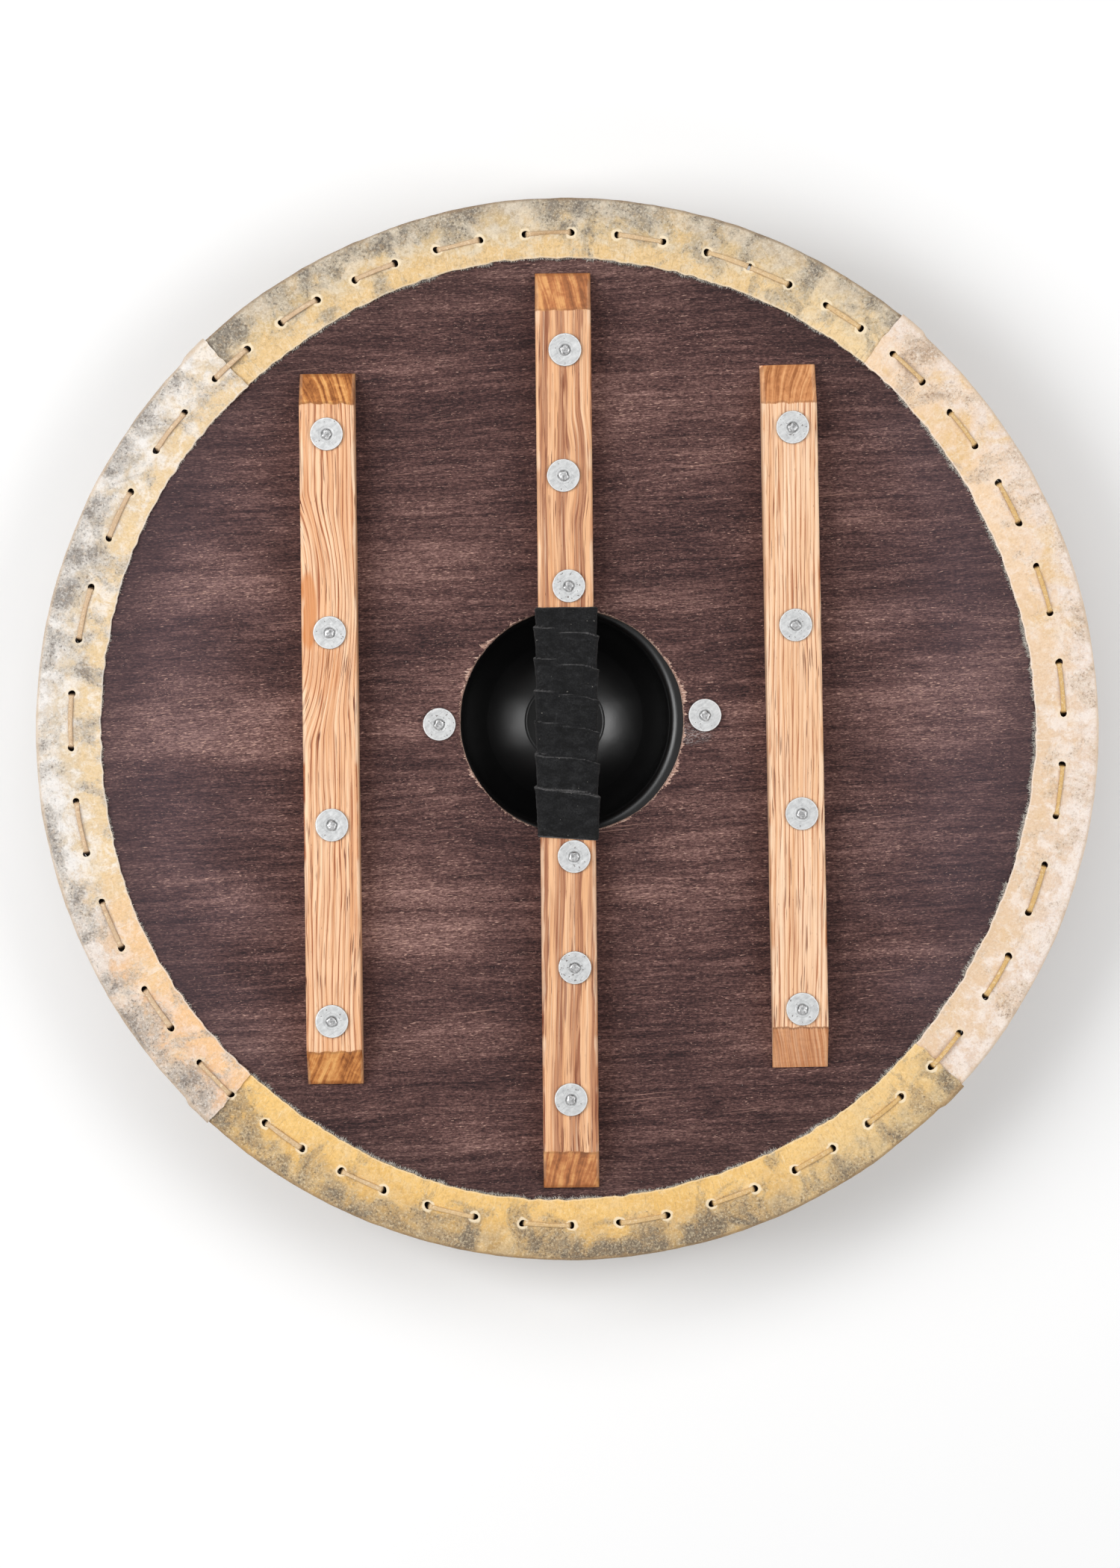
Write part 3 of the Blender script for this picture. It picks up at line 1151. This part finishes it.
# pitch of the rings in millimetres and their slant through the lath, then colours and amounts;
# a knot pushes the rings aside: x, y, reach across, reach along and push
woods = {
    "batten_left": {
        "pitch": 3.7, "slant": -0.48, "wander": 16, "late": (0.30, 0.75),
        "knots": [(-173, 72, 40, 85, 13)], "resin": [(-170, 76, 8, 26, 0.8), (-160, 40, 14, 22, 0.25)],
        "resinColour": (214, 138, 80), "pale": (248, 208, 170), "warm": (238, 186, 142),
        "shade": (222, 160, 112), "dark": (216, 154, 108), "lateShare": 0.6, "line": (160, 86, 48),
        "lines": 0.9, "cracks": 1.0, "fuzz": 1.0, "band": 3.2, "bandShare": 2.9,
        "endPale": (250, 186, 114), "endMid": (212, 138, 76), "endDark": (142, 82, 42),
        "endRim": (134, 76, 34), "rimShare": 0.6, "footPale": 0.0, "seed": 21,
    },
    "batten_grip": {
        "pitch": 11.5, "slant": -0.42, "wander": 9, "late": (0.30, 0.55), "knots": [(9, 170, 12, 40, 3)],
        "resin": [], "resinColour": (214, 138, 80), "pale": (240, 192, 150), "warm": (232, 176, 128),
        "shade": (212, 150, 106), "dark": (180, 124, 90), "lateShare": 0.85, "line": (138, 78, 52),
        "lines": 0.6, "cracks": 0.8, "fuzz": 1.0, "band": 6.5, "bandShare": 4.2,
        "endPale": (238, 174, 112), "endMid": (200, 128, 80), "endDark": (150, 94, 60),
        "endRim": (150, 88, 42), "rimShare": 0.65, "footPale": 0.0, "seed": 22,
    },
    "batten_right": {
        "pitch": 3.1, "slant": 0.30, "wander": 10, "late": (0.35, 0.80), "knots": [],
        "resin": [(132, -160, 2, 3, 1.0)], "resinColour": (96, 56, 40), "pale": (250, 214, 180),
        "warm": (240, 196, 156), "shade": (228, 172, 126), "dark": (224, 166, 120), "lateShare": 0.45,
        "line": (170, 98, 58), "lines": 0.9, "cracks": 0.8, "fuzz": 2.2, "band": 2.0, "bandShare": 3.0,
        "endPale": (244, 180, 124), "endMid": (214, 144, 92), "endDark": (170, 106, 62),
        "endRim": (190, 124, 74), "rimShare": 0.35, "footPale": 0.55, "seed": 23,
    },
}


def makeBatten(name, batten, finish):
    # a rounded bar: its section is a box with quarter circles at the arrises, its top falls away at both ends
    length, seed = batten["length"], batten["seed"]
    footSlope, topSlope = batten["slopes"]
    reach = lath["fineReach"]
    fineEnd = np.linspace(0, reach, lath["fineRows"])
    middle = np.linspace(reach, length - reach, int((length - 2 * reach) / lath["row"]))[1:-1]
    along = (np.concatenate([fineEnd, middle, length - fineEnd[::-1]]) - length / 2)[:, None]
    thick, tip, width = lath["thick"], lath["tip"], lath["width"]
    fromFoot = along + length / 2
    fromTop = length / 2 - along
    arris = lath["arris"] * (1 + 0.35 * wave(along / 12, seed))
    half = width / 2

    def topHeight(x):
        # the plane of each slope, with ridges of the saw, meets the flat top
        ridges = 0.10 * noise(x / 9, along / 0.9, seed + 5, 2)
        foot = tip + (thick - tip) * (fromFoot / footSlope) + ridges
        head = tip + (thick - tip) * (fromTop / topSlope) + ridges
        bite = batten["chip"] * smooth(-x, half - 11, half) * smooth(fromTop, 6, 0)
        grain = 0.06 * noise(x / 0.9, along / 35, seed + 6, 3)
        return softMin(softMin(foot, head - bite), thick + grain)

    def softMin(a, b):
        # the lower of two heights, rounded over a third of a millimetre where they cross
        blend = 0.35
        h = np.clip(0.5 + 0.5 * (b - a) / blend, 0, 1)
        return b * (1 - h) + a * h - blend * h * (1 - h)

    # ring, counterclockwise about +Y: up the left side, over the top to the right, down and back below
    angle = np.radians(np.linspace(0, 90, 5))
    flat = np.linspace(-1, 1, 24)[None, 1:-1]
    sine, cosine = np.sin(angle)[None, :], np.cos(angle)[None, :]
    inset = half - arris
    topX = np.concatenate([-inset - arris * cosine, flat * inset, inset + arris * sine], axis=1)
    fall = np.concatenate([arris * (1 - sine), 0 * flat * arris, arris * (1 - cosine)], axis=1)
    topZ = topHeight(topX) - fall
    sideShare = np.linspace(0, 1, 6)[None, 1:-1]
    lower = 0.6
    leftTop, rightTop = topZ[:, :1], topZ[:, -1:]
    bow = 0.10 * wave(along / 30, seed + 8, 2)
    rightZ = rightTop + (lower - rightTop) * sideShare
    leftZ = lower + (leftTop - lower) * sideShare
    ones = 0 * along + 1
    bottomX = np.linspace(half - lower, lower - half, 8)[None, :] * ones
    right, left = half * ones + bow, -half * ones + bow
    ringX = np.concatenate([topX, right + 0 * rightZ, right, bottomX, left, left + 0 * leftZ], axis=1)
    ringZ = np.concatenate([topZ, rightZ, lower * ones, 0 * bottomX, lower * ones, leftZ], axis=1)
    centreX, centreY, _ = middleOf(name)
    foot, _ = heightsOf(name)
    lean = np.radians(batten["lean"])
    x = centreX + ringX * np.cos(lean) - along * np.sin(lean)
    y = centreY + ringX * np.sin(lean) + along * np.cos(lean)
    rings = np.stack([x, y, foot + ringZ], -1)
    points, faces = closedSkin(rings)
    piece = makePiece(name + "_lath", points, faces, finish, 50)
    slope = np.maximum(footSlope - fromFoot, topSlope - fromTop) + 0 * ringX
    slope = slope + 0.8 * wave(ringX / 5, seed + 3, 2)
    topCount, cornerCount = topX.shape[1], len(angle)
    slope[:, topCount:] = -9  # the sides are never sawn
    arrisShare = np.zeros_like(ringX)
    arrisShare[:, 1:cornerCount] = 1
    arrisShare[:, topCount - cornerCount:topCount - 1] = 1
    arrisShare = arrisShare * (0.65 + 0.5 * wave(along / 16, seed + 9))
    toEdge = np.minimum(half - np.abs(ringX), np.minimum(fromFoot, fromTop))
    endRim = 1 - smooth(toEdge + 0.8 * noise(ringX / 3, along / 3, seed + 10, 2), 0.4, 2.6)
    paint(piece, "slope", np.concatenate([slope.ravel(), [9, 9]]))
    paint(piece, "arris", np.concatenate([arrisShare.ravel(), [0, 0]]))
    paint(piece, "endRim", np.concatenate([endRim.ravel(), [1, 1]]))
    attach(piece, "pine", name)
    return piece


grip = {
    "top": 79,
    "foot": -72,
    "edge": -40,  # the lowest turn's edge; the others follow upwards
    "pitch": 20.8,
    "slope": 10.0,
    "thin": 1.5,
    "thick": 3.1,
}


def makeWrap(finish):
    # a rounded sleeve round the lath whose thickness climbs through each turn and drops at its edge
    batten = battens["batten_grip"]
    centreX, centreY, _ = middleOf("batten_grip")
    foot, back = heightsOf("batten_grip")
    rows, columns = 210, 132
    share = np.linspace(0, 1, rows)[:, None]
    turn = circle(columns)
    halfX = lath["width"] / 2 + 0.15
    halfZ = (back - foot) / 2 + 0.15
    # outline of the inside: a superellipse close to the lath's section, counterclockwise about +Y
    power = 0.2
    unitX = np.sign(np.sin(turn)) * np.abs(np.sin(turn)) ** power
    unitZ = np.sign(np.cos(turn)) * np.abs(np.cos(turn)) ** power
    tilt = np.tan(np.radians(grip["slope"]))
    low = grip["foot"] - unitX * halfX * tilt * 0.4
    high = grip["top"] + 0.6 * noise(unitX * 2, unitZ * 2, 74, 2)
    along = low + (high - low) * share
    ragged = 0.7 * noise(unitX * 2.2 + 7, unitZ * 1.5, 71, 3)
    place = (along + unitX * halfX * tilt + ragged - grip["edge"]) / grip["pitch"]
    place = place + 0.05 * noise(np.floor(place) * 3.7, unitX * 1.6, 75, 2)
    part = np.where(place < 0, np.clip(1 + place * 0.65, 0, 1), place - np.floor(place))
    edgeStep = smooth(part, 1.0, 0.955)
    thick = grip["thin"] + (grip["thick"] - grip["thin"]) * part ** 1.6 * edgeStep
    lip = 0.35 * np.exp(-((part - 0.94) / 0.04) ** 2)
    folds = 0.22 * noise(along / 5.5, unitX * 1.4 + unitZ, 72, 3) + 0.12 * noise(along / 1.6, turn * 4, 73, 3)
    ends = smooth(np.minimum(along - low, high - along), 0, 0.8)
    thick = (thick + lip + folds) * (0.5 + 0.5 * ends)
    lean = np.radians(batten["lean"])

    def placed(across, up):
        localY = along - centreY
        x = centreX + across * np.cos(lean) - localY * np.sin(lean)
        y = centreY + across * np.sin(lean) + localY * np.cos(lean)
        onBoard = np.hypot(x - board["holeX"], y - board["holeY"]) > board["holeRadius"] - 1.2
        z = (foot + back) / 2 + up
        return np.stack([x, y, np.where(onBoard, np.maximum(z, boardBack + 0.08), z)], -1)

    outer = placed(unitX * (halfX + thick), unitZ * (halfZ + thick))
    inner = placed(unitX * halfX + 0 * along, np.maximum(unitZ * halfZ, -halfZ + 0.1) + 0 * along)
    rings = np.concatenate([outer, inner[::-6]], axis=0)
    faces = [gridQuads(len(rings), columns, True, True)]
    piece = makePiece("grip_wrap_suede", rings.reshape(-1, 3), faces, finish, 50)
    edge = np.exp(-((part - 0.97) / 0.03) ** 2) + 0.5 * np.exp(-(part / 0.03) ** 2)
    edge = edge + 1 - smooth(np.minimum(along - low, high - along), 0.2, 1.0)
    edges = np.concatenate([edge, np.zeros_like(edge[::-6])], axis=0)
    paint(piece, "edge", edges.ravel())
    attach(piece, "suede", "grip_wrap")
    return piece


boss = {
    "wall": 1.8,
    "crown": 26.0,
    "shoulder": 2.0,
    "neck": 69.0,
    "neckDepth": 13.0,
    "arc": 70.0,
    "fillet": 4.0,
    "flange": 100.0,
}


def bowlCurve(neck, crown, crownHeight, height, steps):
    # part of an ellipse from the crown's shoulder up to the straight neck
    arc = np.radians(boss["arc"])
    turn = arc * (1 - np.linspace(0, 1, steps))
    out = (np.cos(turn) - np.cos(arc)) / (1 - np.cos(arc))
    down = np.sin(turn) / np.sin(arc)
    return crown + (neck - crown) * out, crownHeight + (height - boss["neckDepth"] - crownHeight) * (1 - down)


def makeBoss(finish):
    # one profile turned about the boss's axis: outside of the dome, flange, then the inside down to the crown
    _, height = heightsOf("boss")
    centreX, centreY, _ = middleOf("boss")
    wall, crown, neck, fillet = boss["wall"], boss["crown"], boss["neck"], boss["fillet"]
    outR, outZ = bowlCurve(neck + wall, crown + 1.2, boss["shoulder"], height, 34)
    inR, inZ = bowlCurve(neck, crown + 0.6, wall + 0.3, height, 40)
    soft = 3.0
    inZ = wall + 0.2 + np.sqrt((inZ - wall - 0.3) ** 2 + soft ** 2) - soft * (1 - smooth(inZ, 4, 40))
    bend = np.radians(np.linspace(0, 90, 8))
    outFilletR = neck + wall + fillet * (1 - np.cos(bend))
    outFilletZ = height - wall - fillet + fillet * np.sin(bend)
    inFilletR = neck + (fillet + wall) * (1 - np.cos(bend))
    inFilletZ = height - (fillet + wall) + (fillet + wall) * np.sin(bend)
    radius = np.concatenate([
        [0.01], np.linspace(4, crown - 0.4, 8), [crown, crown + 0.35, crown + 0.7], outR,
        outFilletR, [88, boss["flange"] - 0.5, boss["flange"], boss["flange"], boss["flange"] - 0.5, 88],
        inFilletR[::-1], inR[::-1], [crown, crown - 0.3, crown - 0.6], np.linspace(crown - 2, 4, 8), [0.01],
    ])
    level = np.concatenate([
        [0], np.zeros(8), [0.06, 0.5, 1.3], outZ,
        outFilletZ, [height - wall, height - wall, height - wall + 0.5, height - 0.5, height, height],
        inFilletZ[::-1], inZ[::-1], [wall + 0.15, wall + 0.03, wall], np.full(8, wall), [wall],
    ])
    columns = 180
    turn = circle(columns)
    radius, level = radius[:, None], level[:, None]
    dent = 0.22 * noise(radius * np.cos(turn) / 14, radius * np.sin(turn) / 14, 81, 2)
    radius = radius + dent * smooth(radius, crown + 1, crown + 14) * smooth(radius, neck + 3, neck - 6)
    rings = np.stack([centreX + radius * np.cos(turn), centreY + radius * np.sin(turn), level + 0 * turn], -1)
    points, faces = closedSkin(rings)
    piece = makePiece("boss_dome", points, faces, finish, 32)
    attach(piece, "black_steel", "boss")
    return piece


nailShape = {"head": 7.0, "rise": 3.4, "shank": 2.5, "peen": 3.2}
washerShape = {"outer": 10.75, "inner": 2.75, "thick": 1.5}


def makeWasher(name, finish, seed):
    # a ring with rolled edges, dished a little towards its hole by the hammering
    centreX, centreY, _ = middleOf(name)
    low, _ = heightsOf(name)
    outer, inner, thick = washerShape["outer"], washerShape["inner"], washerShape["thick"]
    bend = np.radians(np.linspace(0, 90, 5))
    soft = 0.35
    topR = np.linspace(outer - soft, inner + soft, 14)
    sine, cosine = soft * np.sin(bend), soft * np.cos(bend)
    underR = [inner, inner + 0.2, outer - 0.2, outer]
    radius = np.concatenate([outer - soft + cosine, topR[1:-1], inner + soft - sine, underR])
    level = np.concatenate([thick - soft + sine, np.full(12, thick), thick - soft + cosine, [0.2, 0, 0, 0.2]])
    columns = 72
    turn = circle(columns)
    radius = radius[:, None]
    top = (level > thick * 0.5)[:, None]
    dish = -0.28 * np.exp(-((radius - inner) / 2.0) ** 2) * top
    dents = 0.07 * noise(radius * np.cos(turn) / 1.8 + seed, radius * np.sin(turn) / 1.8, seed, 3) * top
    ragged = 0.05 * noise(turn * 6, 0 * turn + seed, seed + 1, 2)
    tiltX, tiltY = np.random.default_rng(seed).uniform(-0.006, 0.006, 2)
    x = (radius + ragged) * np.cos(turn)
    y = (radius + ragged) * np.sin(turn)
    z = low + level[:, None] + dish + dents + tiltX * x + tiltY * y
    rings = np.stack([centreX + x, centreY + y, z], -1)
    faces = [gridQuads(len(rings), columns, True, True)]
    piece = makePiece(name + "_zinc", rings.reshape(-1, 3), faces, finish, 40)
    paint(piece, "radius", (radius + 0 * turn).ravel())
    attach(piece, "zinc", name)
    return piece


def makeNail(name, finishes, seed):
    # domed head below, shank, and an end that the hammer spread over the washer in a few flat blows
    centreX, centreY, _ = middleOf(name)
    low, high = heightsOf(name)
    rng = np.random.default_rng(seed)
    headArc = np.radians(np.linspace(0, 84, 9))
    head, rise, shank, peen = nailShape["head"], nailShape["rise"], nailShape["shank"], nailShape["peen"]
    seat = low + rise
    headR = np.concatenate([[0.01], head * np.sin(headArc[1:]) / np.sin(headArc[-1]), [head, head - 0.2]])
    headZ = np.concatenate([[low], seat - 0.5 - (rise - 0.5) * np.cos(headArc[1:]), [seat - 0.2, seat]])
    top = high - 0.15
    under = top - 1.25
    peenR = [shank, shank, peen - 0.5, peen, peen - 0.1]
    peenR = peenR + [peen * 0.86, peen * 0.66, peen * 0.42, peen * 0.2, 0.01]
    peenZ = [seat + 0.2, under - 0.1, under, under + 0.35, under + 0.75]
    peenZ = peenZ + [top - 0.2, top - 0.06, top, top + 0.03, top + 0.03]
    radius = np.concatenate([headR, peenR])[:, None]
    level = np.concatenate([headZ, peenZ])[:, None]
    columns = 40
    turn = circle(columns)
    onEnd = smooth(level, under - 0.2, under + 0.2)
    lobes = ((0.07, 4), (0.06, 2), (0.04, 5))
    squarish = 1 + onEnd * sum(size * np.cos(count * turn + rng.uniform(0, 6)) for size, count in lobes)
    x = radius * squarish * np.cos(turn)
    y = radius * squarish * np.sin(turn)
    blows = onEnd * (0.12 * noise(x / 1.8 + seed, y / 1.8, seed + 3, 2) - 0.05)
    tiltX, tiltY = rng.uniform(-0.08, 0.08, 2)
    z = level + blows + onEnd * (tiltX * x + tiltY * y)
    rings = np.stack([centreX + x, centreY + y, z], -1)
    points, faces = closedSkin(rings)
    piece = makePiece(name + "_steel", points, faces, finishes[0], 45)
    piece.data.materials.append(finishes[1])
    inHead = np.array([polygon.center[2] / mm < boardFront for polygon in piece.data.polygons])
    piece.data.polygons.foreach_set("material_index", inHead.astype(np.int32))
    attach(piece, "nail_steel", name)
    return piece


holeCutter = makeHoleCutter()
print("rim")
for name, strip in strips.items():
    makeStrip(name, strip, rawhideFinish(name + "Hide", hides[name]), holeCutter)
makeHair(hairFinish())
makeLace(laceFinish())

print("board")
makeBoard(stainedWoodFinish(), holeCutter)
bpy.data.objects.remove(holeCutter)

print("battens")
for name, batten in battens.items():
    makeBatten(name, batten, pineFinish(name + "Pine", woods[name]))

print("grip and boss")
makeWrap(suedeFinish())
makeBoss(blackSteelFinish())

print("nails and washers")
zinc = zincFinish()
peenSteel = nailFinish("peenedSteel", (150, 150, 151), (226, 226, 226), 0.45, 0.28)
headSteel = nailFinish("headSteel", (20, 20, 21), (52, 50, 50), 0.7, 0.45)
nodeNames = [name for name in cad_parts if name.startswith("nail_")]
for seed, name in enumerate(sorted(nodeNames)):
    makeNail(name, (peenSteel, headSteel), 100 + seed)
    makeWasher(name.replace("nail_", "washer_"), zinc, 200 + 3 * seed)

studio = {
    "distance": 2.7,  # camera above the back of the board
    "frameHeight": 1.0303,  # metres of the board's plane from the top to the bottom of the frame
    "cameraX": -0.0047,
    "cameraY": -0.0362,
    "sensor": 36,
    "aim": (0, 0, 0.08),
    "world": 0.24,
    "floor": 6000,  # half its side, in millimetres
}
# place, size and power of each soft box
softBoxes = {
    "leftBox": ((-1.75, 0.15, 1.9), (1.3, 1.9), 44),
    "rightBox": ((1.75, 0.1, 1.9), (1.3, 1.9), 27),
    "topBox": ((-0.3, 1.5, 2.3), (2.0, 0.9), 12),
    "frontBox": ((0.0, -1.8, 2.0), (2.4, 0.9), 7),
}


def plainFinish(name, colour, roughness):
    f = Finish(name, roughness=roughness)
    f.shader.inputs["Base Color"].default_value = (*colour, 1.0)
    return f.material


def makeFloor():
    half = studio["floor"]
    points = np.array([[-half, -half, 0], [half, -half, 0], [half, half, 0], [-half, half, 0]], float)
    finish = plainFinish("paleFloor", (0.95, 0.95, 0.95), 0.9)
    floor = makePiece("floor", points, [np.array([[0, 1, 2, 3]])], finish)


def addLight(name, position, size, power):
    data = bpy.data.lights.new(name, "AREA")
    data.shape = "RECTANGLE"
    data.size, data.size_y = size
    data.energy = power
    light = bpy.data.objects.new(name, data)
    light.location = position
    way = np.array(studio["aim"]) - np.array(position)
    light.rotation_euler = Vector(way.tolist()).to_track_quat("-Z", "Y").to_euler()
    bpy.context.collection.objects.link(light)


makeFloor()
for name, (position, size, power) in softBoxes.items():
    addLight(name, position, size, power)

world = bpy.data.worlds.new("studio")
world.use_nodes = True
world.node_tree.nodes["Background"].inputs["Color"].default_value = (1, 1, 1, 1)
world.node_tree.nodes["Background"].inputs["Strength"].default_value = studio["world"]
bpy.context.scene.world = world
bpy.context.scene.view_settings.view_transform = "Standard"

camera = bpy.data.cameras.new("camera")
camera.sensor_fit = "VERTICAL"
camera.sensor_height = studio["sensor"]
camera.lens = studio["sensor"] * studio["distance"] / studio["frameHeight"]
camera.clip_end = 100
cameraObject = bpy.data.objects.new("camera", camera)
cameraObject.location = (studio["cameraX"], studio["cameraY"], boardBack * mm + studio["distance"])
bpy.context.collection.objects.link(cameraObject)
bpy.context.scene.camera = cameraObject
